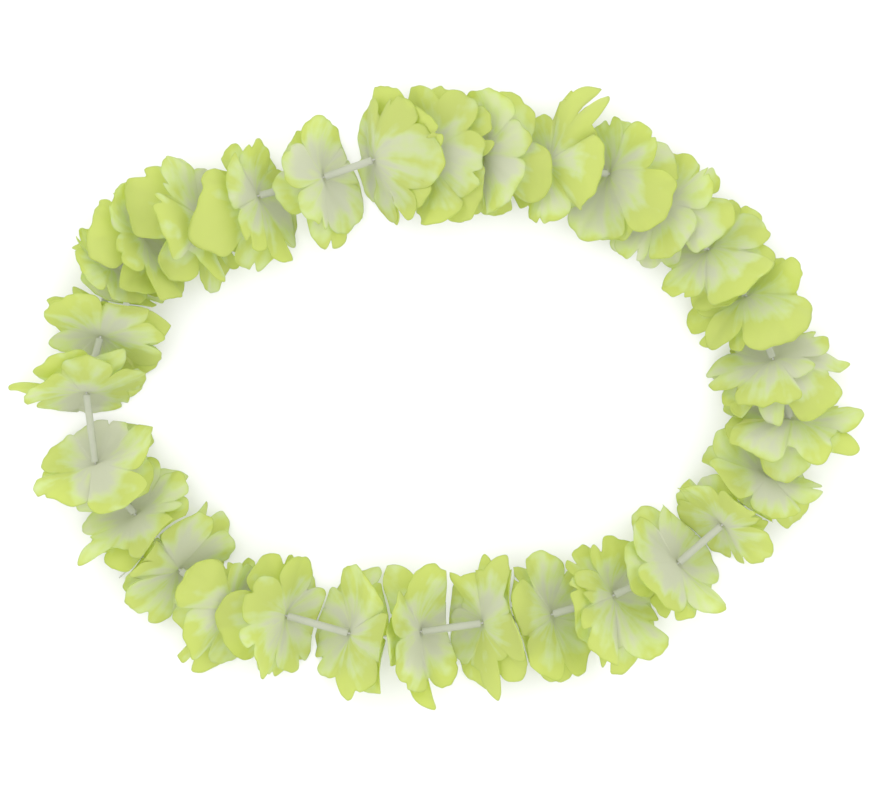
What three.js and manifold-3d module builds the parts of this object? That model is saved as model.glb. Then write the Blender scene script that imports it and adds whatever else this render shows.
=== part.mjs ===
// An artificial flower lei, laid down in a loop: thirty cloth blooms of two petal layers each, and the
// plastic straws that space them, threaded on one string whose ends are tied between the last bloom and
// the first. Millimetres, +Z up. The lei lies on z = 0 with the middle of its outline over the origin.

import * as THREE from "three";
import { mergeVertices } from "three/addons/utils/BufferGeometryUtils.js";
import Module from "manifold-3d";

// Driving dimensions
const CLOTH_THICKNESS = 0.7;
const LAYER_GAP = 2.0;             // between the middles of a bloom's two layers
const HOLE_RADIUS = 1.5;           // of the string hole in a bloom
const HUB_RADIUS = 2.3;            // of the ring that joins the two layers
const HUB_HALF_LENGTH = 2.0;       // along the string
const HUB_GROOVE = 0.8;            // between the two layers, where the ring joins them
const PINCH_LENGTH = 4.5;          // the cloth leaves the string square for about this far
const PETALS_PER_LAYER = 5;
const NOTCH_SHARE = 0.6;           // how far out the cut between two petals starts
const PETAL_LENGTH_SPREAD = 0.1;
const FLOP_SHARE = 0.4;            // how far a petal's tip leans out of its layer, over its length
const FLOOR_OVERRUN = 1.5;         // how far below the floor a petal that the lei lies on would reach
const WAVE_HEIGHT = 2.2;
const NEIGHBOUR_CLEARANCE = 0.9;   // from a bloom to the plane between it and the next
const STRAW_RADIUS = 2.0;
const STRAW_BORE_RADIUS = 1.5;
const STRAW_END_GAP = 3.6;         // from a straw's end to the middle of the bloom's hub
const STRING_RADIUS = 0.5;
const KNOT_RADIUS = 1.5;
const TAIL_RADIUS = 0.45;
const FLOOR_SNAP = 1.3;            // a petal whose edge comes this near the floor stands on it
// The string's two cut ends, as points in the plane between the tied gap's blooms: away from the loop's
// middle, and down from the knot.
const TAIL_ROUTES = [
  [[0, 0], [5, 2], [12, 7], [18, 12], [24, 15], [29, 15.5]],
  [[0, 0], [-4, 2], [-8, 7], [-12, 12], [-16, 15]],
];
const LOOP_CENTRE = [1.96, 0.83];   // of the outline, from the middle of the drawing below

// Mesh fineness
const STEPS_PER_PETAL = 4;
const MIDDLE_RING_SHARE = 0.38;    // of a petal's length, where its one bend lies
const STRAW_SIDES = 8;
const STRING_SIDES = 6;
const KNOT_SIDES = 10;

// One bloom a line, clockwise seen from above. at: the hub. lean: how far the side that faces the next
// bloom is tipped up, in degrees. turn: of that side away from the loop. spin: of the petals. cup: how far
// the petals' tips stand towards the next bloom, over their length. reach: hub to tip, away from the loop's
// middle and towards it.
const BLOOMS = [
  { at: [-183, -37, 16], lean: 60, turn: 0, spin: -10, cup: 0.1, reach: [29, 33] },
  { at: [-188, 3, 18], lean: -33, turn: 12, spin: 26, cup: 0.15, reach: [36, 33] },
  { at: [-180, 33, 19], lean: -58, turn: -6, spin: 15, cup: 0.1, reach: [29, 32] },
  { at: [-176, 69, 18], lean: 34, turn: -20, spin: 20, cup: 0.05, reach: [21, 31] },
  { at: [-158, 86, 19], lean: 42, turn: 0, spin: -12, cup: 0.05, reach: [26, 36] },
  { at: [-127, 94, 19], lean: 42, turn: 0, spin: 2, cup: -0.05, reach: [35, 34] },
  { at: [-97, 107, 18], lean: 44, turn: 0, spin: 35, cup: 0.05, reach: [28, 37] },
  { at: [-62, 117, 16], lean: 58, turn: 0, spin: 30, cup: 0.1, reach: [28, 33] },
  { at: [-33, 127, 19], lean: -38, turn: 0, spin: 20, cup: 0.6, reach: [34, 35] },
  { at: [-3, 129, 19], lean: -50, turn: 0, spin: 18, cup: 0.3, reach: [36, 34] },
  { at: [26, 129, 18], lean: -60, turn: 0, spin: -13, cup: 0.2, reach: [30, 32] },
  { at: [60, 124, 19], lean: -60, turn: 0, spin: 31, cup: 0.1, reach: [29, 28] },
  { at: [93, 119, 17], lean: -60, turn: 0, spin: 20, cup: 0.05, reach: [30, 33] },
  { at: [121, 102, 17], lean: -60, turn: 0, spin: 13, cup: 0.1, reach: [28, 34] },
  { at: [146, 78, 17], lean: -60, turn: 0, spin: 34, cup: 0.1, reach: [32, 29] },
  { at: [166, 53, 18], lean: -58, turn: 0, spin: 50, cup: 0.1, reach: [27, 31] },
  { at: [180, 19, 19], lean: -44, turn: -7, spin: 16, cup: 0.15, reach: [34, 34] },
  { at: [189, -13, 18], lean: -46, turn: -9, spin: 2, cup: 0.1, reach: [34, 35] },
  { at: [176, -43, 18], lean: -58, turn: 0, spin: 0, cup: 0.05, reach: [25, 34] },
  { at: [153, -68, 18], lean: 50, turn: 0, spin: -3, cup: -0.05, reach: [26, 29] },
  { at: [128, -90, 16], lean: -57, turn: 0, spin: -22, cup: -0.05, reach: [28, 35] },
  { at: [93, -107, 18], lean: -53, turn: 0, spin: -1, cup: -0.1, reach: [38, 29] },
  { at: [60, -117, 18], lean: -56, turn: 0, spin: 16, cup: -0.05, reach: [33, 31] },
  { at: [25, -121, 19], lean: 53, turn: 0, spin: 18, cup: -0.1, reach: [35, 33] },
  { at: [-10, -126, 18], lean: -52, turn: 0, spin: 10, cup: -0.25, reach: [30, 33] },
  { at: [-46, -127, 19], lean: 53, turn: 0, spin: -2, cup: -0.05, reach: [34, 34] },
  { at: [-82, -117, 16], lean: -58, turn: 0, spin: 17, cup: -0.05, reach: [34, 31] },
  { at: [-111, -112, 18], lean: -58, turn: 0, spin: 20, cup: 0.1, reach: [36, 24] },
  { at: [-139, -92, 18], lean: -56, turn: 8, spin: -22, cup: 0.1, reach: [31, 36] },
  { at: [-161, -64, 18], lean: 54, turn: 0, spin: -4, cup: 0.1, reach: [32, 31] },
];
const TIED_GAP = 28;   // the gap after this bloom, counted from 0, holds the knot and no straw

// Petals cut longer, shorter or narrower than the rest, counted from 0 in the front layer and on from there
// in the back layer. length and width: over a petal's own.
const ODD_PETALS = [
  { bloom: 1, petal: 0, length: 1.25, width: 1 },
  { bloom: 2, petal: 0, length: 0.9, width: 1 },
  { bloom: 2, petal: 1, length: 1.05, width: 0.6 },
  { bloom: 2, petal: 4, length: 1.0, width: 0.8 },
  { bloom: 2, petal: 5, length: 0.85, width: 1 },
  { bloom: 2, petal: 6, length: 0.85, width: 1 },
  { bloom: 2, petal: 7, length: 0.85, width: 1 },
  { bloom: 5, petal: 7, length: 1.0, width: 0.35 },
  { bloom: 6, petal: 4, length: 1.0, width: 0.8 },
  { bloom: 7, petal: 5, length: 1.25, width: 1 },
  { bloom: 11, petal: 0, length: 1.25, width: 1 },
  { bloom: 12, petal: 1, length: 1.25, width: 0.35 },
  { bloom: 12, petal: 5, length: 1.3, width: 1 },
  { bloom: 12, petal: 6, length: 1.58, width: 0.75 },
  { bloom: 13, petal: 5, length: 1.3, width: 1 },
  { bloom: 14, petal: 0, length: 1.3, width: 1 },
  { bloom: 15, petal: 3, length: 0.8, width: 1 },
  { bloom: 15, petal: 5, length: 1.3, width: 1 },
  { bloom: 16, petal: 5, length: 1.3, width: 1 },
  { bloom: 17, petal: 1, length: 1.05, width: 0.7 },
  { bloom: 17, petal: 6, length: 0.65, width: 1 },
  { bloom: 18, petal: 1, length: 1.05, width: 0.6 },
  { bloom: 18, petal: 6, length: 1.05, width: 0.6 },
  { bloom: 18, petal: 9, length: 1.0, width: 0.7 },
  { bloom: 19, petal: 0, length: 1.25, width: 1 },
  { bloom: 24, petal: 1, length: 1.1, width: 0.45 },
  { bloom: 24, petal: 3, length: 1.0, width: 0.4 },
  { bloom: 24, petal: 4, length: 1.05, width: 0.5 },
  { bloom: 24, petal: 9, length: 1.0, width: 0.45 },
  { bloom: 25, petal: 1, length: 1.25, width: 0.3 },
  { bloom: 25, petal: 2, length: 1.1, width: 0.6 },
  { bloom: 26, petal: 7, length: 0.7, width: 1 },
  { bloom: 28, petal: 5, length: 1.25, width: 1 },
  { bloom: 29, petal: 2, length: 1.1, width: 0.5 },
  { bloom: 30, petal: 1, length: 1.1, width: 0.5 },
];

const UP = new THREE.Vector3(0, 0, 1);
const WIDEST_PLANE_TILT = 55;
const SETTLING_ROUNDS = 4;

const clothMaterial = new THREE.MeshStandardMaterial({ color: 0xc2da70, roughness: 0.8, metalness: 0 });
const strawMaterial = new THREE.MeshStandardMaterial({ color: 0xdde2cf, roughness: 0.35, metalness: 0 });
const stringMaterial = new THREE.MeshStandardMaterial({ color: 0xd8dccb, roughness: 0.85, metalness: 0 });

const wasm = await Module();
wasm.setup();

const radians = THREE.MathUtils.degToRad;
const twoDigits = (number) => String(number).padStart(2, "0");

// A repeatable draw between -1 and 1 for petal `petal` of bloom `bloom`.
function draw(bloom, petal, kind) {
  const wide = Math.sin(bloom * 12.9898 + petal * 78.233 + kind * 37.719) * 43758.5453;
  return 2 * (wide - Math.floor(wide)) - 1;
}

function around(index) {
  return (index + BLOOMS.length) % BLOOMS.length;
}

function hub(index) {
  const [x, y, z] = BLOOMS[around(index)].at;
  return new THREE.Vector3(x - LOOP_CENTRE[0], y - LOOP_CENTRE[1], z);
}

// The directions that place a bloom's cloth: along the string, away from the loop's middle, and the side
// of the disc that faces the next bloom, with `outward` and `upward` in the disc.
function bloomFrame(index) {
  const bloom = BLOOMS[around(index)];
  const along = hub(index + 1).sub(hub(index - 1)).setZ(0).normalize();
  const aside = new THREE.Vector3().crossVectors(UP, along);
  const turned = along.clone().applyAxisAngle(UP, radians(bloom.turn));
  const outward = new THREE.Vector3().crossVectors(UP, turned);
  const lean = radians(bloom.lean);
  const face = turned.clone().multiplyScalar(Math.cos(lean)).addScaledVector(UP, Math.sin(lean));
  const upward = new THREE.Vector3().crossVectors(face, outward);
  return { along, aside, face, outward, upward };
}

// The plane between bloom `index` and the next one, through the middle of the straw. It stands half way
// between the two discs' slopes.
function planeBetween(index) {
  const slope = (which) => {
    const bloom = BLOOMS[around(which)];
    const lean = THREE.MathUtils.clamp(bloom.lean, -WIDEST_PLANE_TILT, WIDEST_PLANE_TILT);
    const along = bloomFrame(which).along;
    return along.multiplyScalar(Math.cos(radians(lean))).addScaledVector(UP, Math.sin(radians(lean)));
  };
  const normal = slope(index).add(slope(index + 1)).normalize();
  const middle = hub(index).add(hub(index + 1)).multiplyScalar(0.5);
  return new THREE.Plane().setFromNormalAndCoplanarPoint(normal, middle);
}

// Bends a point clear of the floor and of the planes to both neighbours, by at least `floor` and `room`.
function settle(point, bloom, frame, before, after, floor, room) {
  const slant = radians(Math.abs(bloom.lean));
  const slide = ((1 - Math.sin(slant)) / Math.cos(slant)) * (bloom.lean >= 0 ? 1 : -1);
  for (let round = 0; round < SETTLING_ROUNDS; round += 1) {
    if (point.z < floor) {
      point.addScaledVector(frame.along, (floor - point.z) * slide);
      point.z = floor;
    }
    const past = after.distanceToPoint(point) + room;
    if (past > 0) {
      point.addScaledVector(after.normal, -past);
    }
    const short = room - before.distanceToPoint(point);
    if (short > 0) {
      point.addScaledVector(before.normal, short);
    }
  }
  point.z = Math.max(point.z, floor);
  return point;
}

// The angle of a petal's point round the hub, from straight up towards the loop's outside.
function petalAngle(index, step) {
  return radians(BLOOMS[index].spin + ((step / STEPS_PER_PETAL - 0.5) * 360) / PETALS_PER_LAYER);
}

// How a layer's petal is cut at a step round the hub: its number, the step's place across it from -1 to 1,
// and its length and width over a petal's own.
function cutAt(index, step, isFront) {
  const shifted = isFront ? step : (step + STEPS_PER_PETAL / 2) % (PETALS_PER_LAYER * STEPS_PER_PETAL);
  const petal = Math.floor(shifted / STEPS_PER_PETAL) + (isFront ? 0 : PETALS_PER_LAYER);
  const across = ((shifted % STEPS_PER_PETAL) / STEPS_PER_PETAL) * 2 - 1;
  const usual = { length: 1 + PETAL_LENGTH_SPREAD * draw(index, petal, 1), width: 1 };
  const odd = ODD_PETALS.find((other) => other.bloom === index + 1 && other.petal === petal);
  return { petal, across, ...(odd ?? usual) };
}

// The surface half way between a bloom's two layers, as spokes from a middle ring out to where the longest
// petal may end. It cups and waves, and lies clear of the floor and of the neighbours by half the gap
// between the layers more than the layers do.
function bloomSpokes(index) {
  const bloom = BLOOMS[index];
  const frame = bloomFrame(index);
  const before = planeBetween(index - 1);
  const after = planeBetween(index);
  const [outer, inner] = bloom.reach;
  const spokes = Array.from({ length: PETALS_PER_LAYER * STEPS_PER_PETAL }, (_, step) => {
    const angle = petalAngle(index, step);
    const reach = (outer + inner) / 2 + ((outer - inner) / 2) * Math.sin(angle);
    const under = Math.max(0, -Math.cos(angle)) * Math.cos(radians(bloom.lean));
    const lengths = [true, false].map((isFront) => cutAt(index, step, isFront).length);
    const toFloor = (bloom.at[2] + FLOOR_OVERRUN) / Math.max(under, 0.01);
    const longest = Math.min(reach * Math.max(1 + PETAL_LENGTH_SPREAD, ...lengths), toFloor);
    const discWay = frame.outward.clone().multiplyScalar(Math.sin(angle));
    discWay.addScaledVector(frame.upward, Math.cos(angle));
    const squareWay = frame.aside.clone().multiplyScalar(Math.sin(angle)).addScaledVector(UP, Math.cos(angle));
    const place = (distance) => {
      const part = distance / reach;
      const pinch = PINCH_LENGTH * (1 - Math.exp(-distance / PINCH_LENGTH));
      const blend = THREE.MathUtils.smoothstep(distance, HOLE_RADIUS, 2 * PINCH_LENGTH);
      const faceWay = frame.along.clone().lerp(frame.face, blend).normalize();
      const wave = WAVE_HEIGHT * Math.pow(part, 1.5) * Math.sin(3 * angle + 3 * draw(index, 0, 3));
      const point = hub(index).addScaledVector(squareWay, pinch).addScaledVector(discWay, distance - pinch);
      point.addScaledVector(faceWay, bloom.cup * reach * Math.pow(part, 1.8) + wave);
      const room = NEIGHBOUR_CLEARANCE + LAYER_GAP / 2;
      return settle(point, bloom, frame, before, after, (CLOTH_THICKNESS + LAYER_GAP) / 2, room);
    };
    const middle = MIDDLE_RING_SHARE * reach;
    return { reach, under, middle, longest, start: place(middle), end: place(longest) };
  });
  spokes.forEach((spoke, step) => {
    const next = spokes[(step + 1) % spokes.length];
    const last = spokes[(step + spokes.length - 1) % spokes.length];
    const round = next.start.clone().add(next.end).sub(last.start).sub(last.end);
    spoke.normal = round.cross(spoke.end.clone().sub(spoke.start)).normalize();
  });
  return spokes;
}

// The middle surface of one layer as rings of points from the hub to the edge, which runs from the notch
// between two petals out to a tip and back.
function layerRings(index, isFront) {
  const bloom = BLOOMS[index];
  const frame = bloomFrame(index);
  const before = planeBetween(index - 1);
  const after = planeBetween(index);
  const side = isFront ? 1 : -1;
  const spokes = bloomSpokes(index);
  const tips = spokes.map(({ reach, under, middle, longest, start, end, normal }, step) => {
    const { petal, across, length, width } = cutAt(index, step, isFront);
    const shareAcross = Math.min(Math.abs(across) / width, 1);
    const edge = NOTCH_SHARE + (1 - NOTCH_SHARE) * Math.pow(1 - Math.pow(shareAcross, 3.2), 0.55);
    const radius = Math.min(reach * length * edge, longest);
    const flop = FLOP_SHARE * (0.5 + 0.5 * draw(index, petal, 2)) * (1 - under) * (1 - across * across);
    const point = start.clone().lerp(end, (radius - middle) / (longest - middle));
    point.addScaledVector(normal, side * (LAYER_GAP / 2 + flop * radius));
    return settle(point, bloom, frame, before, after, CLOTH_THICKNESS / 2, NEIGHBOUR_CLEARANCE);
  });
  const middles = spokes.map(({ start, normal }) => start.clone().addScaledVector(normal, (side * LAYER_GAP) / 2));
  return [hubRing(index, HOLE_RADIUS, (side * LAYER_GAP) / 2), middles, tips];
}

// Both faces of a layer: its middle surface moved half the cloth's thickness along its normals.
function layerFaces(rings) {
  const steps = rings[0].length;
  const face = (level, side) => rings[level].map((point, step) => {
    const inner = rings[level - 1][step];
    const outer = rings[Math.min(level + 1, rings.length - 1)][step];
    const round = rings[level][(step + 1) % steps].clone().sub(rings[level][(step + steps - 1) % steps]);
    const normal = round.cross(outer.clone().sub(inner)).normalize();
    const moved = point.clone().addScaledVector(normal, (side * CLOTH_THICKNESS) / 2);
    moved.z = moved.z < FLOOR_SNAP ? 0 : moved.z;
    return moved;
  });
  return { back: [face(1, -1), face(2, -1)], front: [face(2, 1), face(1, 1)] };
}

// A ring of points round the string at a bloom's hub, as far apart as its petals' points.
function hubRing(index, radius, height) {
  const { along, aside } = bloomFrame(index);
  const steps = PETALS_PER_LAYER * STEPS_PER_PETAL;
  return Array.from({ length: steps }, (_, step) => {
    const angle = petalAngle(index, step);
    const point = hub(index).addScaledVector(aside, radius * Math.sin(angle));
    return point.addScaledVector(UP, radius * Math.cos(angle)).addScaledVector(along, height);
  });
}

// A closed band of rings: each ring joins the next, and the last joins the first. `slants` turns the
// diagonals of a band, so that both faces of a petal are cut alike.
function closedBand(rings, slants) {
  const steps = rings[0].length;
  const positions = rings.flat().flatMap((point) => point.toArray());
  const triangles = [];
  rings.forEach((ring, level) => {
    const a = level * steps;
    const b = ((level + 1) % rings.length) * steps;
    for (let step = 0; step < steps; step += 1) {
      const next = (step + 1) % steps;
      if (slants[level]) {
        triangles.push(a + step, b + step, a + next, b + step, b + next, a + next);
      } else {
        triangles.push(a + step, b + next, a + next, a + step, b + step, b + next);
      }
    }
  });
  const geometry = new THREE.BufferGeometry();
  geometry.setAttribute("position", new THREE.Float32BufferAttribute(positions, 3));
  geometry.setIndex(triangles);
  geometry.computeVertexNormals();
  return geometry;
}

// One bloom as a closed band: out along the back layer and in again, over the ring that joins the layers,
// out along the front layer and in again, and down the wall of the string hole.
function bloomMesh(index) {
  const back = layerFaces(layerRings(index, false));
  const front = layerFaces(layerRings(index, true));
  const rings = [
    hubRing(index, HOLE_RADIUS, -HUB_HALF_LENGTH), ...back.back, ...back.front,
    hubRing(index, HUB_RADIUS, -HUB_GROOVE / 2), hubRing(index, HUB_RADIUS, HUB_GROOVE / 2),
    ...front.back, ...front.front, hubRing(index, HOLE_RADIUS, HUB_HALF_LENGTH),
  ];
  const halfTurn = rings.length / 4;
  const slants = rings.map((_, level) => level % (2 * halfTurn) >= halfTurn);
  const mesh = new THREE.Mesh(closedBand(rings, slants), clothMaterial);
  mesh.name = `bloom_${twoDigits(index + 1)}`;
  return mesh;
}

// A short drinking-straw tube on the string, from one bloom's hub to the next.
function strawMesh(index) {
  const start = hub(index);
  const end = hub(index + 1);
  const way = end.clone().sub(start).normalize();
  const half = start.distanceTo(end) / 2 - STRAW_END_GAP;
  const profile = [
    [STRAW_BORE_RADIUS, -half], [STRAW_RADIUS, -half], [STRAW_RADIUS, half],
    [STRAW_BORE_RADIUS, half], [STRAW_BORE_RADIUS, -half],
  ].map(([radius, height]) => new THREE.Vector2(radius, height));
  const mesh = new THREE.Mesh(new THREE.LatheGeometry(profile, STRAW_SIDES), strawMaterial);
  mesh.position.copy(start).add(end).multiplyScalar(0.5);
  mesh.quaternion.setFromUnitVectors(new THREE.Vector3(0, 1, 0), way);
  mesh.name = `straw_${twoDigits(index + 1)}`;
  return mesh;
}

function toSolid(geometry) {
  const bare = geometry.clone();
  bare.deleteAttribute("normal");
  bare.deleteAttribute("uv");
  const merged = mergeVertices(bare, 1e-3);
  const vertProperties = new Float32Array(merged.attributes.position.array);
  const triVerts = new Uint32Array(merged.index.array);
  return new wasm.Manifold(new wasm.Mesh({ numProp: 3, vertProperties, triVerts }));
}

function toGeometry(solid) {
  const { vertProperties, triVerts } = solid.getMesh();
  const geometry = new THREE.BufferGeometry();
  geometry.setAttribute("position", new THREE.BufferAttribute(vertProperties, 3));
  geometry.setIndex(new THREE.BufferAttribute(triVerts, 1));
  geometry.computeVertexNormals();
  return geometry;
}

function roundRod(path, steps) {
  const section = new THREE.Shape().absarc(0, 0, TAIL_RADIUS, 0, 2 * Math.PI);
  return new THREE.ExtrudeGeometry(section, { extrudePath: path, steps, curveSegments: STRING_SIDES });
}

// The string runs through every hub and straw and comes back to its start. In the tied gap it has its
// knot and the two short ends, which lie down towards the floor outside the loop.
function stringSolid() {
  const section = (centre, aside) => Array.from({ length: STRING_SIDES }, (_, side) => {
    const angle = (-2 * Math.PI * side) / STRING_SIDES;
    const point = centre.clone().addScaledVector(aside, STRING_RADIUS * Math.cos(angle));
    return point.addScaledVector(UP, STRING_RADIUS * Math.sin(angle));
  });
  const rings = BLOOMS.flatMap((_, index) => {
    const way = hub(index + 1).sub(hub(index));
    const aside = new THREE.Vector3().crossVectors(UP, way).normalize();
    const halfWay = hub(index).lerp(hub(index + 1), 0.5);
    return [section(hub(index), bloomFrame(index).aside), section(halfWay, aside)];
  });
  const loop = toSolid(closedBand(rings, rings.map(() => false)));
  const gap = planeBetween(TIED_GAP);
  const middle = hub(TIED_GAP).lerp(hub(TIED_GAP + 1), 0.5);
  const away = new THREE.Vector3().crossVectors(UP, gap.normal).normalize();
  const down = new THREE.Vector3().crossVectors(away, gap.normal);
  const knot = new THREE.SphereGeometry(KNOT_RADIUS, KNOT_SIDES, KNOT_SIDES / 2);
  knot.translate(...middle.toArray());
  const tails = TAIL_ROUTES.map((tail) => {
    const points = tail.map(([out, drop]) => middle.clone().addScaledVector(away, out).addScaledVector(down, drop));
    return toSolid(roundRod(new THREE.CatmullRomCurve3(points), 2 * tail.length));
  });
  return tails.reduce((joined, tail) => joined.add(tail), loop.add(toSolid(knot)));
}

const lei = new THREE.Group();
BLOOMS.forEach((_, index) => {
  lei.add(bloomMesh(index));
  if (index !== TIED_GAP) {
    lei.add(strawMesh(index));
  }
});
const string = new THREE.Mesh(toGeometry(stringSolid()), stringMaterial);
string.name = "string";
lei.add(string);

export default lei;
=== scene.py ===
"""The artificial flower lei, dressed: cut-cloth blooms in two thin layers, milky straws and twisted string,
laid down on a pale floor and seen from straight above. Shapes are worked out in millimetres in the frame of
the solids and put into their meshes in metres.
"""

import math
from collections import namedtuple

import bmesh
import bpy
import numpy as np
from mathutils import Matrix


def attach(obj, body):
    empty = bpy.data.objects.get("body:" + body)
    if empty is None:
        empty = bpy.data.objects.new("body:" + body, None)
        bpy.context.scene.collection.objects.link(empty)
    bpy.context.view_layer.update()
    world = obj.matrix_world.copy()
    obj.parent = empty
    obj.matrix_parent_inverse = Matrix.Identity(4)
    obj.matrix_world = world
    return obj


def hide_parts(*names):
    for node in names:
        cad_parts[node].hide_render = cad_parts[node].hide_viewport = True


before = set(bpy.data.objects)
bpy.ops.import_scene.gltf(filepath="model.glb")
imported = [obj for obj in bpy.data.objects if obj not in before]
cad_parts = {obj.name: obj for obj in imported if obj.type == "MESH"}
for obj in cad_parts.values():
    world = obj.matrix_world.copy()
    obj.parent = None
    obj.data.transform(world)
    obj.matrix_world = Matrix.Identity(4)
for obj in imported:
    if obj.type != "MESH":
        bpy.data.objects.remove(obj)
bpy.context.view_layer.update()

MM = 0.001

# The lei as it lies, the same named values as the solids have
LAYER_GAP = 2.0   # between a bloom's two layers
PINCH_LENGTH = 4.5   # the cloth leaves the string square for about this far
PETALS_PER_LAYER = 5
PETAL_LENGTH_SPREAD = 0.1
FLOP_SHARE = 0.4   # how far a petal may lean out of its layer, over its length
FLOOR_OVERRUN = 1.5   # how far below the floor a petal that the lei lies on would reach
WAVE_HEIGHT = 2.2
NEIGHBOUR_CLEARANCE = 0.9
STRAW_RADIUS = 2.0
STRING_RADIUS = 0.5
KNOT_RADIUS = 1.5
LOOP_CENTRE = [1.96, 0.83]   # of the outline, from the middle of the drawing below
TIED_GAP = 28   # the gap after this bloom, counted from 0, holds the knot and no straw
WIDEST_PLANE_TILT = 55   # of the plane between two blooms, in degrees
UP = np.array([0.0, 0.0, 1.0])
# The string's two cut ends, as points in the plane of the tied gap: away from the loop's middle, and down
# from the knot
TAIL_ROUTES = [
    [[0, 0], [5, 2], [12, 7], [18, 12], [24, 15], [29, 15.5]],
    [[0, 0], [-4, 2], [-8, 7], [-12, 12], [-16, 15]],
]

# x, y and z: the hub. lean: how far the side that faces the next bloom is tipped up, in degrees. turn: of
# that side away from the loop. spin: of the petals. cup: how far the petals' tips stand towards the next
# bloom, over their length. outer and inner: hub to tip, away from the loop's middle and towards it
Bloom = namedtuple("Bloom", "x y z lean turn spin cup outer inner")
BLOOMS = [
    Bloom(-183, -37, 16, 60, 0, -10, 0.1, 29, 33),
    Bloom(-188, 3, 18, -33, 12, 26, 0.15, 36, 33),
    Bloom(-180, 33, 19, -58, -6, 15, 0.1, 29, 32),
    Bloom(-176, 69, 18, 34, -20, 20, 0.05, 21, 31),
    Bloom(-158, 86, 19, 42, 0, -12, 0.05, 26, 36),
    Bloom(-127, 94, 19, 42, 0, 2, -0.05, 35, 34),
    Bloom(-97, 107, 18, 44, 0, 35, 0.05, 28, 37),
    Bloom(-62, 117, 16, 58, 0, 30, 0.1, 28, 33),
    Bloom(-33, 127, 19, -38, 0, 20, 0.6, 34, 35),
    Bloom(-3, 129, 19, -50, 0, 18, 0.3, 36, 34),
    Bloom(26, 129, 18, -60, 0, -13, 0.2, 30, 32),
    Bloom(60, 124, 19, -60, 0, 31, 0.1, 29, 28),
    Bloom(93, 119, 17, -60, 0, 20, 0.05, 30, 33),
    Bloom(121, 102, 17, -60, 0, 13, 0.1, 28, 34),
    Bloom(146, 78, 17, -60, 0, 34, 0.1, 32, 29),
    Bloom(166, 53, 18, -58, 0, 50, 0.1, 27, 31),
    Bloom(180, 19, 19, -44, -7, 16, 0.15, 34, 34),
    Bloom(189, -13, 18, -46, -9, 2, 0.1, 34, 35),
    Bloom(176, -43, 18, -58, 0, 0, 0.05, 25, 34),
    Bloom(153, -68, 18, 50, 0, -3, -0.05, 26, 29),
    Bloom(128, -90, 16, -57, 0, -22, -0.05, 28, 35),
    Bloom(93, -107, 18, -53, 0, -1, -0.1, 38, 29),
    Bloom(60, -117, 18, -56, 0, 16, -0.05, 33, 31),
    Bloom(25, -121, 19, 53, 0, 18, -0.1, 35, 33),
    Bloom(-10, -126, 18, -52, 0, 10, -0.25, 30, 33),
    Bloom(-46, -127, 19, 53, 0, -2, -0.05, 34, 34),
    Bloom(-82, -117, 16, -58, 0, 17, -0.05, 34, 31),
    Bloom(-111, -112, 18, -58, 0, 20, 0.1, 36, 24),
    Bloom(-139, -92, 18, -56, 8, -22, 0.1, 31, 36),
    Bloom(-161, -64, 18, 54, 0, -4, 0.1, 32, 31),
]
HUBS = np.array([[bloom.x, bloom.y, bloom.z] for bloom in BLOOMS], float) - [*LOOP_CENTRE, 0]

# length and width: over a petal's own. pointed: from 0, round, to 1. cleft: how deep one splits the tip
Petal = namedtuple("Petal", "length width pointed cleft", defaults=(1, 0, 0))
# Petals cut unlike the rest: the bloom, counted from 1, and the petal, front layer 0 to 4, back layer 5 to 9
ODD_PETALS = {
    (1, 0): Petal(1.25),
    (2, 0): Petal(0.9),
    (2, 1): Petal(1.05, 0.6, 0.7),
    (2, 4): Petal(1.0, 0.8, 1),
    (2, 5): Petal(0.85),
    (2, 6): Petal(0.85),
    (2, 7): Petal(0.85),
    (5, 7): Petal(1.0, 0.35, 1),
    (6, 4): Petal(1.0, 0.8, 1),
    (7, 5): Petal(1.25),
    (11, 0): Petal(1.25),
    (12, 1): Petal(1.25, 0.35, 1),
    (12, 5): Petal(1.3),
    (12, 6): Petal(1.58, 0.75, 0.2, 1.2),
    (13, 5): Petal(1.3),
    (14, 0): Petal(1.3),
    (15, 3): Petal(0.8),
    (15, 5): Petal(1.3),
    (16, 5): Petal(1.3),
    (17, 1): Petal(1.05, 0.7, 1),
    (17, 6): Petal(0.65),
    (18, 1): Petal(1.05, 0.6, 1),
    (18, 6): Petal(1.05, 0.6, 1),
    (18, 9): Petal(1.0, 0.7, 1),
    (19, 0): Petal(1.25),
    (24, 1): Petal(1.1, 0.45, 1),
    (24, 3): Petal(1.0, 0.4, 1),
    (24, 4): Petal(1.05, 0.5, 1),
    (24, 9): Petal(1.0, 0.45, 1),
    (25, 1): Petal(1.25, 0.3, 0.4),
    (25, 2): Petal(1.1, 0.6, 1),
    (26, 7): Petal(0.7),
    (28, 5): Petal(1.25),
    (29, 2): Petal(1.1, 0.5, 1),
    (30, 1): Petal(1.1, 0.5, 1),
}

# What the repeatable draws decide, with the number that each is drawn by
DRAWS = {
    "length": 1,
    "flop": 2,
    "wave": 3,
    "notch": 5,
    "cleft place": 6,
    "cleft depth": 7,
    "curl": 8,
    "tip": 9,
    "tint": 11,
    "pointed": 12,
    "crease place": 13,
    "crease depth": 14,
    "contact": 15,
    "ripple": 20,
}
DRAW_STRIDES = (12.9898, 78.233, 37.719)   # of the sine's angle, to a bloom, a petal and a kind of draw
DRAW_STRETCH = 43758.5453
RIPPLED_WIDTHS, RIPPLED_EDGE, RUFFLES = 40, 50, 60   # stand in for the petal where a ripple is drawn

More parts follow.
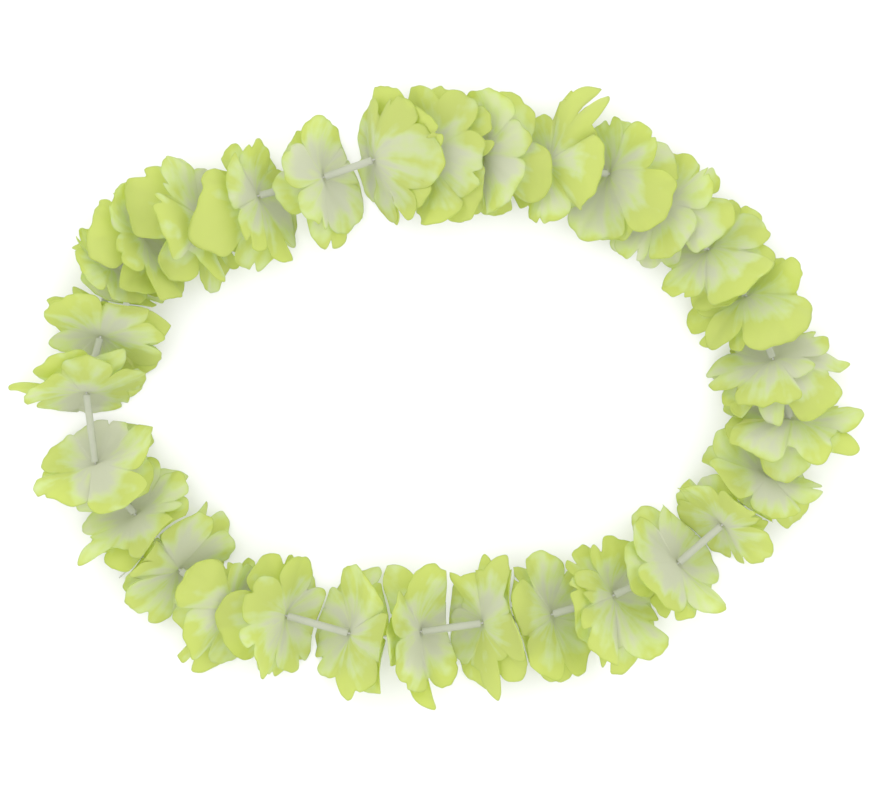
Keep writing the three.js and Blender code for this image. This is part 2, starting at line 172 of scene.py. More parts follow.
# The cut of the cloth. A ripple is a list of sines: how many of them go round the bloom, and their height
CLOTH_THICKNESS = 0.22
CLOTH_HOLE_RADIUS = 0.8
STEPS_ROUND = 240
STEPS_OUT = 26
OUT_SPACING = 0.9   # below 1, the points lie closer together towards the edge
WIDTH_RIPPLE = 0.08   # of a petal's width
WIDTH_WAVES = [(2, 1), (3, 1)]
EDGE_WAVES = [(7, 0.02), (11, 0.014), (17, 0.009), (31, 0.005)]
NOTCH_SHARES = (0.5, 0.76)   # how far out the cuts between petals end
POINTED_DRAWS = (0.7, 0.9)   # draws between which a petal goes from round to pointed
EDGE_FULLNESS = 2.6   # above 2, a petal's tip is squarer than round
CLEFT_SPREAD = 0.5   # how far to either side of a tip's middle its cleft may be, in half widths
CLEFT_WIDTH = 0.09   # in half widths too
CLEFT_DEPTH = 0.3
FLOOR_SLIDE = 6   # more cloth below the floor, which comes to lie on it
FLOOR_EASE = 1.1   # makes up for what the soft limit takes off shorter petals
LEAST_DOWN = 0.01   # keeps the limit finite where a petal doesn't point down

# How the cloth stands out of the disc. A share is of the reach
CURL_SHARE = 0.3
CURL_MEAN, CURL_SPREAD = 0.4, 0.6
CURL_TURN = 0.4   # where the square of the place across is more, a petal's sides curl out
TIP_SHARE = 0.16
CREASE_SHARE = 0.03
CREASE_SPREAD = 0.4   # how far to either side of a petal's middle its crease may be, in half widths
CREASE_WIDTH = 0.1   # in half widths too
WAVES_ROUND = 3
WAVE_PHASES = 3   # to either side, in radians
RUFFLE_HEIGHT = 1.4
RUFFLE_WAVES = [(6, 0.6), (9, 0.4), (13, 0.25), (23, 0.1)]
# The power of the share of the reach that each grows with
GROWTH = {"wave": 1.5, "cup": 1.8, "curl": 2, "crease": 2, "flop": 2.2, "ruffle": 3, "tip": 5}
HUB_GAP = 0.25   # the share of the layers' gap that there is at the hub
GAP_OPENS = (1, 8)   # distances from the hub between which the gap opens
LAYER_SOFTNESS = 0.6   # how gently a layer is kept on its own side of the disc
LAYER_CLEARANCE = 0.12   # from the disc's middle to each layer, at the least

# How the cloth settles on the floor and between its neighbours
SETTLE_ROUNDS = 4
SOFTEN_ROUNDS = 5
LOWER_FLOOR, UPPER_FLOOR = 0.05, 0.9   # how far the lower and the upper layer keep off the floor
LAYER_ROOM = 0.6   # more room for the layer that lies further from a neighbour
CONTACT_BULGE = 2.2   # of the waved planes that neighbours meet at
CONTACT_ACROSS, CONTACT_UP = 9, 14   # the waves' length across and up, to a radian
CONTACT_PHASES = 3   # to either side, in radians

# The straws and the string
STRAW_WALL = 0.3
STRAW_END_GAP = 2.2   # from a hub to a straw's end
STRAW_SIDES = 40
RIM_STEPS = 7   # round the rim at a straw's end
STRING_SIDES = 12
STRING_STEPS = 48   # to half the way between two blooms
TWIST_LENGTH = 4.0   # of one turn of the two plies
PLY_DEPTH = 0.18   # of the lobes that the plies make, as a share of the radius
KNOT_STEPS = 90
KNOT_WAY, KNOT_SWING, KNOT_LIFT = 0.5, 0.28, 0.35   # of the trefoil, as shares of the knot's radius
TAIL_STEPS = 24   # between two points of a cut end's route
POLE_WELD = 0.0005   # points nearer to each other than this become one
NEVER_ZERO = 1e-6   # keeps a direction from having no length


def linear(red, green, blue):
    """A linear colour from an 8-bit display colour."""
    share = np.array([red, green, blue]) / 255
    return tuple(np.where(share <= 0.04045, share / 12.92, ((share + 0.055) / 1.055) ** 2.4).tolist())


# The dye, over a petal's length from the hub
DYE_STOPS = [
    (0.2, linear(216, 220, 190)),
    (0.45, linear(219, 227, 177)),
    (0.7, linear(215, 230, 147)),
    (1.0, linear(208, 221, 103)),
]
DYE_EDGE = linear(196, 214, 120)
EDGE_WIDTH = 0.7
EDGE_DARKENING = 0.5
DYE_BLOTCHES = 2.6
DYE_STREAKS = 1.4
STREAK_DRIFT = 12   # how fast the streaks change over the lei
DYE_TINT = 0.4
PETAL_TINT = 0.5
PETAL_TINT_FADE = 6   # the power of the place across with which a petal's own tint fades at its sides
BLOOM_TINT = 0.7
# Bloom by bloom: below 0 more of it is left white, above 0 the green runs further in
BLOOM_TINTS = [
    -0.9, -0.3, 0.8, -0.2, 0.2, 0.0, 0.1, -0.3, 0.8, 0.7,
    -0.2, 0.1, -0.3, -0.7, 0.6, 0.5, -0.7, 0.0, -0.7, -0.2,
    -0.5, 0.3, 0.6, 0.9, 0.0, 0.3, 0.4, 0.3, 0.4, -0.4,
]

# The surfaces
CLOTH_TRANSLUCENCY = 0.6
FLAT_SCALE = 10   # of the flat cloth's own coordinates, to a metre
THREAD_PITCH = 0.4
WEAVE_RELIEF = 0.33
STRAW_TRANSLUCENCY = 0.4
STRAW_STOPS = [(0.3, linear(182, 188, 159)), (0.7, linear(191, 196, 170))]
STRING_STOPS = [(0.3, linear(172, 175, 156)), (0.7, linear(196, 198, 182))]

# The picture: a long lens above the lei
SHOWN_CENTRE = [1.34, -1.87]   # from the middle of the drawing of the blooms
SHOWN_WIDTH = 470.8   # at the hubs' height
HUB_HEIGHT = 18
LENS, SENSOR_WIDTH = 200, 36


def unit(vector):
    """Vectors of length 1 the same way."""
    return vector / np.linalg.norm(vector, axis=-1, keepdims=True)


def draw(bloom, petal, what, more=0):
    """A repeatable number between -1 and 1: the fraction of a large sine, stretched. More tells apart the
    draws of one kind."""
    kind = DRAWS[what] + more
    bloom_stride, petal_stride, kind_stride = DRAW_STRIDES
    wide = np.sin(bloom * bloom_stride + petal * petal_stride + kind * kind_stride) * DRAW_STRETCH
    return 2 * (wide - np.floor(wide)) - 1


def smoothstep(x, low, high):
    """Rises from 0 at low to 1 at high as t^2 (3 - 2t), where t is the share of the way."""
    t = np.clip((x - low) / (high - low), 0, 1)
    return t * t * (3 - 2 * t)


def bell(x, middle, width):
    """A bell of height 1: exp(-((x - middle) / width)^2)."""
    return np.exp(-(((x - middle) / width) ** 2))


def ripple(theta, index, where, waves):
    """A sum of sines round the bloom, each (waves round, height) with its own repeatable phase."""
    total = np.zeros_like(theta)
    for place, (count, height) in enumerate(waves):
        total += height * np.sin(count * theta + math.pi * draw(index, where, "ripple", place))
    return total


def bloom_frame(index):
    """The directions that place a bloom's cloth: along the string, away from the loop's middle, the side of
    the disc that faces the next bloom, and the disc's own outward and upward."""
    count = len(BLOOMS)
    bloom = BLOOMS[index % count]
    lean, turn = math.radians(bloom.lean), math.radians(bloom.turn)
    along = HUBS[(index + 1) % count] - HUBS[(index - 1) % count]
    along = unit(np.array([along[0], along[1], 0.0]))
    aside = np.cross(UP, along)
    turned = along * math.cos(turn) + aside * math.sin(turn)
    outward = np.cross(UP, turned)
    face = turned * math.cos(lean) + UP * math.sin(lean)
    upward = np.cross(face, outward)
    return {"along": along, "aside": aside, "face": face, "outward": outward, "upward": upward}


def plane_between(index):
    """The plane between a bloom and the next one, half way between their slopes: a point and a normal."""
    count = len(BLOOMS)
    slopes = []
    for which in (index % count, (index + 1) % count):
        lean = math.radians(max(-WIDEST_PLANE_TILT, min(WIDEST_PLANE_TILT, BLOOMS[which].lean)))
        slopes.append(bloom_frame(which)["along"] * math.cos(lean) + UP * math.sin(lean))
    middle = (HUBS[index % count] + HUBS[(index + 1) % count]) / 2
    return middle, unit(slopes[0] + slopes[1])


# Once round a layer: the angle from the disc's upward, the petal's number, the place across it from -1 to 1,
# how far the bloom reaches, and how steeply that way goes down, from 0 to 1
Ring = namedtuple("Ring", "theta petal across reach down")


def first_petal(is_front):
    """The number of a layer's first petal."""
    return 0 if is_front else PETALS_PER_LAYER


def ring_of(index, is_front):
    """The ring of a layer. The back layer's petals lie between the front layer's, and a ripple makes some
    petals of each wider than others."""
    bloom = BLOOMS[index]
    theta = np.linspace(0, 2 * math.pi, STEPS_ROUND, endpoint=False)
    start = 0.5 if is_front else 1.0
    place = (theta - math.radians(bloom.spin)) * PETALS_PER_LAYER / (2 * math.pi) + start
    place = place + WIDTH_RIPPLE * ripple(theta, index, RIPPLED_WIDTHS + first_petal(is_front), WIDTH_WAVES)
    petal = np.floor(place) % PETALS_PER_LAYER + first_petal(is_front)
    across = 2 * (place - np.floor(place)) - 1
    reach = (bloom.outer + bloom.inner) / 2 + (bloom.outer - bloom.inner) / 2 * np.sin(theta)
    down = np.maximum(0, -np.cos(theta)) * math.cos(math.radians(bloom.lean))
    return Ring(theta, petal, across, reach, down)


def petal_cuts(index, ring):
    """The cut of the petal at each place of a ring, drawn for all but the odd petals."""
    usual = Petal(
        length=1 + PETAL_LENGTH_SPREAD * draw(index, ring.petal, "length"),
        width=np.ones_like(ring.theta),
        pointed=smoothstep(draw(index, ring.petal, "pointed"), *POINTED_DRAWS),
        cleft=np.maximum(draw(index, ring.petal, "cleft depth"), 0),
    )
    cuts = np.array(usual)
    for (bloom, petal), odd in ODD_PETALS.items():
        is_odd = (ring.petal == petal) & (bloom == index + 1)
        cuts = np.where(is_odd, np.array(odd)[:, None], cuts)
    return Petal(*cuts)


def cut_edge(index, is_front, ring):
    """The distance from the hub to the cut edge in the flat: reach x length x (notch + (1 - notch) x round),
    where round = (1 - |across / width|^(fullness - pointed))^(0.5 + 0.5 pointed). A ripple of a few percent
    and a cleft in some tips come on top. Where a petal points down, its length is limited softly, as
    longest x tanh(length / longest), to what reaches the floor and lies on it."""
    cut = petal_cuts(index, ring)
    notch_of = (ring.petal + (ring.across > 0)) % PETALS_PER_LAYER + first_petal(is_front)
    notch = np.interp(draw(index, notch_of, "notch"), [-1, 1], NOTCH_SHARES)
    share_across = np.minimum(np.abs(ring.across) / cut.width, 1)
    round_edge = (1 - share_across ** (EDGE_FULLNESS - cut.pointed)) ** (0.5 + 0.5 * cut.pointed)
    cleft_place = CLEFT_SPREAD * draw(index, ring.petal, "cleft place")
    split = bell(ring.across, cleft_place, CLEFT_WIDTH) * cut.cleft
    ragged = 1 + ripple(ring.theta, index, RIPPLED_EDGE + first_petal(is_front), EDGE_WAVES)
    edge = (notch + (1 - notch) * round_edge) * cut.length * ragged * (1 - CLEFT_DEPTH * split)
    longest = (BLOOMS[index].z + FLOOR_OVERRUN + FLOOR_SLIDE) / np.maximum(ring.down, LEAST_DOWN)
    return longest * np.tanh(ring.reach * edge / longest * FLOOR_EASE)


def cloth_height(index, is_front, ring, distance):
    """How far a layer stands out of its disc, towards the disc's face. The two layers share the cup, a wave
    round the bloom, and ruffles. Each has its own part, on its own side: half the gap, and its petals' flop,
    curl, tip and crease. This part h is kept above zero as (h + sqrt(h^2 + softness^2)) / 2 + clearance, so
    that the layers stay apart. All but the gap grow with powers of the share of the reach."""
    petal, across, steepness = ring.petal, ring.across, 1 - ring.down
    share = distance / ring.reach[:, None]
    flop = FLOP_SHARE * (0.5 + 0.5 * draw(index, petal, "flop")) * steepness * (1 - across**2)
    curl = CURL_SHARE * (CURL_MEAN + CURL_SPREAD * draw(index, petal, "curl")) * (across**2 - CURL_TURN)
    tip = TIP_SHARE * draw(index, petal, "tip") * (1 - across**2)
    crease = bell(across, CREASE_SPREAD * draw(index, petal, "crease place"), CREASE_WIDTH)
    crease = CREASE_SHARE * crease * draw(index, petal, "crease depth")
    own = LAYER_GAP / 2 * (HUB_GAP + (1 - HUB_GAP) * smoothstep(distance, *GAP_OPENS))
    for name, rise in [("flop", flop), ("curl", curl * steepness), ("tip", tip)]:
        own = own + (rise * ring.reach)[:, None] * share ** GROWTH[name]
    own = own + (crease * ring.reach)[:, None] * share ** GROWTH["crease"] * (1 - share)
    own = (own + np.sqrt(own**2 + LAYER_SOFTNESS**2)) / 2 + LAYER_CLEARANCE

    phase = WAVE_PHASES * draw(index, 0, "wave")
    wave = WAVE_HEIGHT * share ** GROWTH["wave"] * np.sin(WAVES_ROUND * ring.theta + phase)[:, None]
    cup = BLOOMS[index].cup * ring.reach[:, None] * share ** GROWTH["cup"]
    ruffle = RUFFLE_HEIGHT * ripple(ring.theta, index, RUFFLES, RUFFLE_WAVES)
    shared = cup + wave + ruffle[:, None] * share ** GROWTH["ruffle"]
    return shared + own if is_front else shared - own


def spread_out(index, theta, distance, height):
    """The points of a layer, each at a distance from the hub and a height out of the disc. Of the distance d,
    the first P (1 - exp(-d / P)), where P is the pinch's length, goes square to the string, and the rest goes
    along the leaning disc. The way that the height is taken in turns with it."""
    ways = bloom_frame(index)
    sine, cosine = np.sin(theta)[:, None, None], np.cos(theta)[:, None, None]
    disc_way = sine * ways["outward"] + cosine * ways["upward"]
    square_way = sine * ways["aside"] + cosine * UP
    pinch = PINCH_LENGTH * (1 - np.exp(-distance / PINCH_LENGTH))
    turned = smoothstep(distance, CLOTH_HOLE_RADIUS, 2 * PINCH_LENGTH)[..., None]
    face_way = unit(ways["along"] * (1 - turned) + ways["face"] * turned)
    points = HUBS[index] + square_way * pinch[..., None] + disc_way * (distance - pinch)[..., None]
    return points + face_way * height[..., None]


def settle(points, index, floor, rooms):
    """Moves points clear of the floor, sliding them along it, and by the two rooms clear of the waved planes
    to the next bloom and to the one before. A plane is waved by bulge x sin(across / length across + up /
    length up + phase)."""
    points = points.copy()
    lean = BLOOMS[index].lean
    slant = math.radians(abs(lean))
    slide = (1 - math.sin(slant)) / math.cos(slant) * (1 if lean >= 0 else -1)
    slide_way = bloom_frame(index)["along"] * slide + UP
    planes = [(index, -1, rooms[0]), (index - 1, 1, rooms[1])]
    for _ in range(SETTLE_ROUNDS):
        drop = np.maximum(floor - points[..., 2], 0)[..., None]
        points += drop * slide_way
        for gap, sign, room in planes:
            middle, normal = plane_between(gap)
            past = points - middle
            aslant = past @ np.cross(UP, normal)
            phase = CONTACT_PHASES * draw(gap % len(BLOOMS), 0, "contact")
            bulge = CONTACT_BULGE * np.sin(aslant / CONTACT_ACROSS + past[..., 2] / CONTACT_UP + phase)
            short = np.maximum(room - sign * (past @ normal + bulge), 0)[..., None]
            points += sign * short * normal
    points[..., 2] = np.maximum(points[..., 2], floor)
    return points


def soften(field, rounds):
    """Averages a field on a grid with its neighbours: round the bloom it closes on itself, and out from the
    hub it stops at both ends."""
    for _ in range(rounds):
        field = (2 * field + np.roll(field, 1, 0) + np.roll(field, -1, 0)) / 4
        inner = np.concatenate([field[:, :1], field[:, :-1]], 1)
        outer = np.concatenate([field[:, 1:], field[:, -1:]], 1)
        field = (2 * field + inner + outer) / 4
    return field


def settle_softly(points, index, is_front):
    """Settles a layer, softens the moves that this took, and settles it once more. The layer that lies above
    the other keeps further off the floor, and the one further from a neighbour further off that neighbour."""
    faces_up = BLOOMS[index].lean >= 0
    is_lower = is_front != faces_up
    floor = CLOTH_THICKNESS / 2 + (LOWER_FLOOR if is_lower else UPPER_FLOOR)
    near, far = NEIGHBOUR_CLEARANCE / 2, NEIGHBOUR_CLEARANCE / 2 + LAYER_ROOM
    rooms = (near, far) if is_front else (far, near)
    moves = settle(points, index, floor, rooms) - points
    return settle(points + soften(moves, SOFTEN_ROUNDS), index, floor, rooms)


def cloth_layer(index, is_front):
    """One layer of a bloom as a grid of points, once round and hub to edge, with four marks for each point:
    its flat place on the cut cloth, its share of the bloom's reach, its distance to the cut edge and its
    petal's tint. The edge's distance from the hub comes with them."""
    ring = ring_of(index, is_front)
    edge = cut_edge(index, is_front, ring)
    out = np.linspace(0, 1, STEPS_OUT) ** OUT_SPACING
    distance = CLOTH_HOLE_RADIUS + out[None, :] * (edge[:, None] - CLOTH_HOLE_RADIUS)
    height = cloth_height(index, is_front, ring, distance)
    points = settle_softly(spread_out(index, ring.theta, distance, height), index, is_front)

    flat = [distance * np.sin(ring.theta)[:, None], distance * np.cos(ring.theta)[:, None]]
    tint = PETAL_TINT * draw(index, ring.petal, "tint") * (1 - ring.across**PETAL_TINT_FADE)
    tint = tint + BLOOM_TINT * BLOOM_TINTS[index]
    marks = {
        "flat": np.stack(flat, -1),
        "share": distance / ring.reach[:, None],
        "to_edge": edge[:, None] - distance,
        "tint": np.broadcast_to(tint[:, None], distance.shape),
    }
    return points, marks, edge


def weld_poles(mesh):
    """Makes one point of those that lie in the same place."""
    welded = bmesh.new()
    welded.from_mesh(mesh)
    bmesh.ops.remove_doubles(welded, verts=welded.verts, dist=POLE_WELD * MM)
    welded.to_mesh(mesh)
    welded.free()


def mark_mesh(mesh, marks):
    """Gives a mesh its marks: the flat places as coordinates of the surface, the others as numbers."""
    for name, values in marks.items():
        if name == "flat":
            corner_points = np.zeros(len(mesh.loops), np.int32)
            mesh.loops.foreach_get("vertex_index", corner_points)
            flat = values.reshape(-1, 2)[corner_points] * MM * FLAT_SCALE
            mesh.uv_layers.new(name=name).data.foreach_set("uv", flat.ravel().astype(np.float32))
        else:
            numbers = mesh.attributes.new(name, "FLOAT", "POINT")
            numbers.data.foreach_set("value", values.reshape(-1).astype(np.float32))


def grid_piece(name, points, material, closes_across=False, has_poles=False):
    """A piece from a grid of points that closes on itself along its rows, and across them if asked. A grid
    with poles has a first and a last column of equal points, which become one point each."""
    rows, columns = points.shape[:2]
    row = np.arange(rows)[:, None]
    column = np.arange(columns if closes_across else columns - 1)[None, :]
    next_row, next_column = (row + 1) % rows, (column + 1) % columns
    corners = [(row, column), (next_row, column), (next_row, next_column), (row, next_column)]
    faces = np.stack([r * columns + c for r, c in corners], -1).reshape(-1, 4)
    mesh = bpy.data.meshes.new(name)
    mesh.from_pydata((points * MM).reshape(-1, 3), [], faces)
    if has_poles:
        weld_poles(mesh)
    mesh.shade_smooth()
    mesh.materials.append(material)
    piece = bpy.data.objects.new(name, mesh)
    bpy.context.scene.collection.objects.link(piece)
    return piece


def add_bloom(index, material):
    """A bloom's two cloth layers, each cut from one flat piece and thickened a little."""
    node = f"bloom_{index + 1:02d}"
    for is_front in (False, True):
        points, marks, edge = cloth_layer(index, is_front)
        piece = grid_piece(f"{node}_{'front' if is_front else 'back'}_layer", points, material)
        mark_mesh(piece.data, marks)
        wall = piece.modifiers.new("cloth", "SOLIDIFY")
        wall.thickness = CLOTH_THICKNESS * MM
        wall.offset = 0
        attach(piece, "root")
        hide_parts(node)


def smooth_path(corners, steps):
    """A smooth curve through points, `steps` to a span: each span is the cubic that leaves and enters its
    two points with half the way between their neighbours."""
    corners = np.array(corners, float)
    ends = np.concatenate([2 * corners[:1] - corners[1:2], corners, 2 * corners[-1:] - corners[-2:-1]])
    t = np.linspace(0, 1, steps, endpoint=False)[:, None]
    spans = []
    for before, start, end, after in zip(ends, ends[1:], ends[2:], ends[3:]):
        pull_start, pull_end = (end - before) / 2, (after - start) / 2
        rise = 3 * (end - start) - 2 * pull_start - pull_end
        turn = 2 * (start - end) + pull_start + pull_end
        spans.append(start + pull_start * t + rise * t**2 + turn * t**3)
    return np.concatenate([*spans, corners[-1:]])


def string_part(name, path, material, is_loop=False):
    """Two-ply string along a path: a section with two lobes, radius x (1 - ply + ply cos 2(angle - twist)),
    that turns once in TWIST_LENGTH. A loop runs into itself, and any other string closes at both ends."""
    before, after = np.roll(path, 1, 0), np.roll(path, -1, 0)
    if not is_loop:
        before[0], after[-1] = path[0], path[-1]
    ways = unit(after - before)
    steps = np.linalg.norm(path - before, axis=-1)
    steps[0] = 0
    length = np.cumsum(steps)
    turns = length / TWIST_LENGTH
    if is_loop:
        whole = length[-1] + np.linalg.norm(path[0] - path[-1])
        turns = length * round(whole / TWIST_LENGTH) / whole
    asides = unit(np.cross(UP, ways) + NEVER_ZERO)
    ups = np.cross(ways, asides)
    angle = np.linspace(0, 2 * math.pi, STRING_SIDES, endpoint=False)[:, None]
    lobes = np.cos(2 * (angle - 2 * math.pi * turns))
    radius = STRING_RADIUS * (1 - PLY_DEPTH + PLY_DEPTH * lobes)
    rings = path + radius[..., None] * (np.cos(angle)[..., None] * asides + np.sin(angle)[..., None] * ups)
    if not is_loop:
        caps = [np.repeat(path[None, [end]], STRING_SIDES, 0) for end in (0, -1)]
        rings = np.concatenate([caps[0], rings, caps[1]], 1)
    piece = grid_piece(name, rings, material, closes_across=is_loop, has_poles=not is_loop)
    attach(piece, "root")
    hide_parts("string")


def add_string_loop(material):
    """The string from hub to hub and back to the first."""
    stops = []
    for index in range(len(BLOOMS)):
        stops += [HUBS[index], (HUBS[index] + HUBS[(index + 1) % len(BLOOMS)]) / 2]
    share = np.arange(0, len(stops), 1 / STRING_STEPS)
    wrapped = np.array([*stops, stops[0]])
    path = np.stack([np.interp(share, np.arange(len(wrapped)), wrapped[:, way]) for way in range(3)], -1)
    string_part("string_loop", path, material, is_loop=True)


def add_knot_and_ends(material):
    """The knot, a trefoil pulled tight, and the string's two cut ends. In units of the knot's radius, the
    trefoil runs at the distance way + swing cos 3t and the angle 2t, and rises by lift x sin 3t."""
    middle = (HUBS[TIED_GAP] + HUBS[TIED_GAP + 1]) / 2
    normal = plane_between(TIED_GAP)[1]
    away = unit(np.cross(UP, normal))
    down = np.cross(away, normal)
    t = np.linspace(0, 2 * math.pi, KNOT_STEPS, endpoint=False)
    swing = KNOT_WAY + KNOT_SWING * np.cos(3 * t)
    trefoil = [swing * np.cos(2 * t), swing * np.sin(2 * t), KNOT_LIFT * np.sin(3 * t)]
    trefoil = sum(KNOT_RADIUS * way[:, None] * axis for way, axis in zip(trefoil, (away, down, normal)))
    string_part("string_knot", middle + trefoil, material, is_loop=True)
    for place, route in enumerate(TAIL_ROUTES):
        corners = [middle + out * away + drop * down for out, drop in route]
        string_part(f"string_end_{place + 1}", smooth_path(corners, TAIL_STEPS), material)


def add_straw(index, material):
    """A straw tube from hub to hub: its wall's profile, round a rim at each end, turned about its axis."""
    start, end = HUBS[index], HUBS[(index + 1) % len(BLOOMS)]
    way = unit(end - start)
    half = np.linalg.norm(end - start) / 2 - STRAW_END_GAP
    aside = unit(np.cross(UP, way))
    above = np.cross(way, aside)
    bend = np.linspace(0, math.pi, RIM_STEPS)
    rim_out = STRAW_RADIUS - STRAW_WALL / 2 * (1 - np.cos(bend))
    rim_along = STRAW_WALL / 2 * np.sin(bend)
    radii = np.concatenate([rim_out, rim_out[::-1]])
    heights = np.concatenate([half + rim_along, -half - rim_along[::-1]])
    turn = np.linspace(0, 2 * math.pi, STRAW_SIDES, endpoint=False)[:, None, None]
    points = (start + end) / 2 + heights[None, :, None] * way
    points = points + radii[None, :, None] * (np.cos(turn) * aside + np.sin(turn) * above)
    node = f"straw_{index + 1:02d}"
    piece = grid_piece(f"{node}_tube", points, material, closes_across=True)
    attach(piece, "root")
    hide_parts(node)


def give(node, values):
    """Links an output to each input of a node that is named, or sets a value on it."""
    for name, value in values.items():
        if isinstance(value, bpy.types.NodeSocket):
            node.id_data.links.new(value, node.inputs[name])
        else:
            node.inputs[name].default_value = value


def math_node(nodes, operation, *values):
    """An operation on numbers."""
    node = nodes.new("ShaderNodeMath")
    node.operation = operation
    give(node, dict(enumerate(values)))
    return node.outputs[0]


def attribute(nodes, name):
    """One of the numbers that a mesh is marked with."""
    node = nodes.new("ShaderNodeAttribute")
    node.attribute_name = name
    return node.outputs["Fac"]


def noise(nodes, vector, scale, detail):
    """A soft noise from 0 to 1."""
    node = nodes.new("ShaderNodeTexNoise")
    give(node, {"Vector": vector, "Scale": scale, "Detail": detail})
    return node.outputs["Fac"]


def unevenness(nodes, vector, scale, detail, height):
    """The same noise about zero, as high as given from its lowest to its highest."""
    return math_node(nodes, "MULTIPLY_ADD", noise(nodes, vector, scale, detail), height, -height / 2)


def ramp(nodes, factor, stops):
    """A colour between the stops' colours, each (position, colour)."""
    node = nodes.new("ShaderNodeValToRGB")
    elements = node.color_ramp.elements
    while len(elements) < len(stops):
        elements.new(0.5)
    for element, (position, colour) in zip(elements, stops):
        element.position = position
        element.color = (*colour, 1)
    give(node, {0: factor})
    return node.outputs[0]


def multiplied(nodes, colour, other, share):
    """A colour multiplied by another, for a share of the way."""
    node = nodes.new("ShaderNodeMix")
    node.data_type = "RGBA"
    node.blend_type = "MULTIPLY"
    factor, first, second, result = 0, 6, 7, 2   # the places of a colour mix's sockets
    give(node, {factor: share, first: colour, second: (*other, 1)})
    return node.outputs[result]


def grain_group():
    """Fine uneven grain on any surface: a soft noise at Position x Scale as Mask, and the Normal that the
    noise and an added Relief give over Depth metres."""
    group = bpy.data.node_groups.new("fine_grain", "ShaderNodeTree")
    group.interface.new_socket("Position", in_out="INPUT", socket_type="NodeSocketVector")
    for name in ("Scale", "Relief", "Depth", "Strength"):
        group.interface.new_socket(name, in_out="INPUT", socket_type="NodeSocketFloat")
    group.interface.new_socket("Mask", in_out="OUTPUT", socket_type="NodeSocketFloat")
    group.interface.new_socket("Normal", in_out="OUTPUT", socket_type="NodeSocketVector")
    nodes = group.nodes
    given = nodes.new("NodeGroupInput").outputs
    mask = noise(nodes, given["Position"], given["Scale"], detail=3)
    height = math_node(nodes, "ADD", mask, given["Relief"])
    bump = nodes.new("ShaderNodeBump")
    give(bump, {"Strength": given["Strength"], "Distance": given["Depth"], "Height": height})
    give(nodes.new("NodeGroupOutput"), {"Mask": mask, "Normal": bump.outputs["Normal"]})
    return group


def grain(nodes, position, scale, depth, strength, relief=0.0):
    """The fine_grain group's Mask and Normal, with the depth in millimetres."""
    node = nodes.new("ShaderNodeGroup")
    node.node_tree = bpy.data.node_groups.get("fine_grain") or grain_group()
    depth = depth * MM
    give(node, {"Position": position, "Scale": scale, "Depth": depth, "Strength": strength, "Relief": relief})
    return node.outputs["Mask"], node.outputs["Normal"]


def new_material(name):
    """A material, its nodes, its shader and the place of a point on the piece."""
    material = bpy.data.materials.new(name)
    material.use_nodes = True
    nodes = material.node_tree.nodes
    place = nodes.new("ShaderNodeTexCoord").outputs["Object"]
    return material, nodes, nodes["Principled BSDF"], place


def let_light_through(nodes, surface, colour, share):
    """Mixes a shader with light that comes through from behind, for a share of it."""
    through = nodes.new("ShaderNodeBsdfTranslucent")
    give(through, {"Color": colour})
    mix = nodes.new("ShaderNodeMixShader")
    give(mix, {0: share, 1: surface.outputs[0], 2: through.outputs[0]})
    give(nodes["Material Output"], {"Surface": mix.outputs[0]})


def dyed_colour(nodes, place, flat):
    """Whitish at the hub and yellow-green towards the edge, along an uneven front that runs out in streaks,
    and edges that took up more dye, as exp(-distance / width)."""
    blotches = unevenness(nodes, place, scale=42, detail=3, height=DYE_BLOTCHES)
    outward = nodes.new("ShaderNodeVectorMath")
    outward.operation = "NORMALIZE"
    give(outward, {0: flat})
    streak_place = nodes.new("ShaderNodeVectorMath")
    streak_place.operation = "MULTIPLY_ADD"
    give(streak_place, {0: place, 1: (STREAK_DRIFT,) * 3, 2: outward.outputs[0]})
    streaks = unevenness(nodes, streak_place.outputs[0], scale=3.2, detail=2, height=DYE_STREAKS)
    share = math_node(nodes, "ADD", attribute(nodes, "share"), math_node(nodes, "ADD", blotches, streaks))
    share = math_node(nodes, "MULTIPLY_ADD", attribute(nodes, "tint"), DYE_TINT, share)
    edge = math_node(nodes, "MULTIPLY", attribute(nodes, "to_edge"), -1 / EDGE_WIDTH)
    edge = math_node(nodes, "MULTIPLY", math_node(nodes, "EXPONENT", edge), EDGE_DARKENING)
    return multiplied(nodes, ramp(nodes, share, DYE_STOPS), DYE_EDGE, edge)


def weave_height(nodes, flat):
    """Threads along and across the flat cloth: sine x sine, from 0 to 1."""
    ways = nodes.new("ShaderNodeSeparateXYZ")
    give(ways, {0: flat})
    to_angle = 2 * math.pi / (THREAD_PITCH * MM * FLAT_SCALE)
    threads = []
    for way in (0, 1):
        angle = math_node(nodes, "MULTIPLY", ways.outputs[way], to_angle)
        threads.append(math_node(nodes, "SINE", angle))
    return math_node(nodes, "MULTIPLY_ADD", math_node(nodes, "MULTIPLY", *threads), 0.5, 0.5)


def cloth_material():
    """Dyed woven cloth, soft and matt, with some light coming through from behind."""
    material, nodes, surface, place = new_material("dyed_petal_cloth")
    flat = nodes.new("ShaderNodeUVMap")
    flat.uv_map = "flat"
    flat = flat.outputs[0]
    colour = dyed_colour(nodes, place, flat)
    weave = weave_height(nodes, flat)
    relief = math_node(nodes, "MULTIPLY", weave, WEAVE_RELIEF)
    normal = grain(nodes, place, scale=260, depth=0.18, strength=0.5, relief=relief)[1]
    roughest, smoother_threads = 0.78, -0.1
    roughness = math_node(nodes, "MULTIPLY_ADD", weave, smoother_threads, roughest)
    give(surface, {"Base Color": colour, "Roughness": roughness, "Normal": normal})
    give(surface, {"Sheen Weight": 0.15, "Sheen Roughness": 0.4, "Specular IOR Level": 0.25})
    let_light_through(nodes, surface, colour, CLOTH_TRANSLUCENCY)
    return material


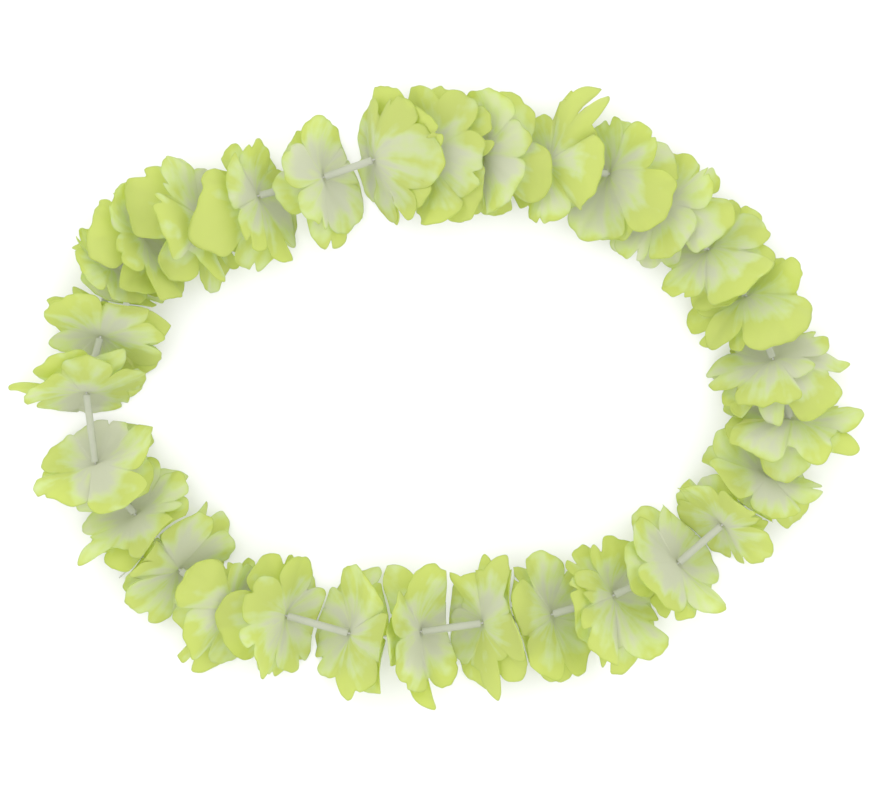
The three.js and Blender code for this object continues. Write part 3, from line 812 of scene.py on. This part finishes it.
def straw_material():
    """Milky thin plastic, a little cloudy and not quite smooth, with some light through it."""
    material, nodes, surface, place = new_material("milky_straw_plastic")
    cloudy = noise(nodes, place, scale=120, detail=3)
    colour = ramp(nodes, cloudy, STRAW_STOPS)
    smoothest, rougher_clouds = 0.28, 0.2
    roughness = math_node(nodes, "MULTIPLY_ADD", cloudy, rougher_clouds, smoothest)
    normal = grain(nodes, place, scale=900, depth=0.05, strength=0.35)[1]
    give(surface, {"Base Color": colour, "Roughness": roughness, "Normal": normal})
    let_light_through(nodes, surface, colour, STRAW_TRANSLUCENCY)
    return material


def string_material():
    """Off-white spun fibre, fuzzy and uneven."""
    material, nodes, surface, place = new_material("twisted_white_string")
    fibres, normal = grain(nodes, place, scale=2200, depth=0.1, strength=0.6)
    give(surface, {"Base Color": ramp(nodes, fibres, STRING_STOPS), "Normal": normal})
    give(surface, {"Roughness": 0.85, "Sheen Weight": 0.2})
    return material


def pale_floor():
    """A wide matt floor, nearly white."""
    bpy.ops.mesh.primitive_plane_add(size=6)
    floor = bpy.context.object
    floor.name = "pale_floor"
    material = bpy.data.materials.new("pale_floor")
    material.use_nodes = True
    surface = material.node_tree.nodes["Principled BSDF"]
    give(surface, {"Base Color": (0.96, 0.96, 0.96, 1), "Roughness": 0.9, "Specular IOR Level": 0.1})
    floor.data.materials.append(material)


def soft_light():
    """Even light from all round, and a weak wide lamp from the upper left."""
    scene = bpy.context.scene
    world = bpy.data.worlds.new("studio")
    world.use_nodes = True
    give(world.node_tree.nodes["Background"], {"Color": (1, 1, 1, 1), "Strength": 1.5})
    scene.world = world
    light = bpy.data.lights.new("soft_box", "AREA")
    light.shape = "DISK"
    light.size = 1.2
    light.energy = 3
    lamp = bpy.data.objects.new("soft_box", light)
    lamp.location = (-0.7, 0.8, 1.6)
    lamp.rotation_euler = (-lamp.location).to_track_quat("-Z", "Y").to_euler()
    scene.collection.objects.link(lamp)
    scene.view_settings.view_transform = "Standard"
    scene.view_settings.gamma = 1.5


def camera_above():
    """A camera straight above, as high as shows SHOWN_WIDTH at the hubs' height."""
    camera = bpy.data.cameras.new("camera")
    camera.lens = LENS
    camera.sensor_width = SENSOR_WIDTH
    eye = bpy.data.objects.new("camera", camera)
    across, up = np.array(SHOWN_CENTRE) - LOOP_CENTRE
    eye.location = (across * MM, up * MM, (HUB_HEIGHT + SHOWN_WIDTH * LENS / SENSOR_WIDTH) * MM)
    bpy.context.scene.collection.objects.link(eye)
    bpy.context.scene.camera = eye


camera_above()
pale_floor()
soft_light()
cloth = cloth_material()
straw = straw_material()
string = string_material()
add_string_loop(string)
add_knot_and_ends(string)
for bloom_index in range(len(BLOOMS)):
    add_bloom(bloom_index, cloth)
    if bloom_index != TIED_GAP:
        add_straw(bloom_index, straw)
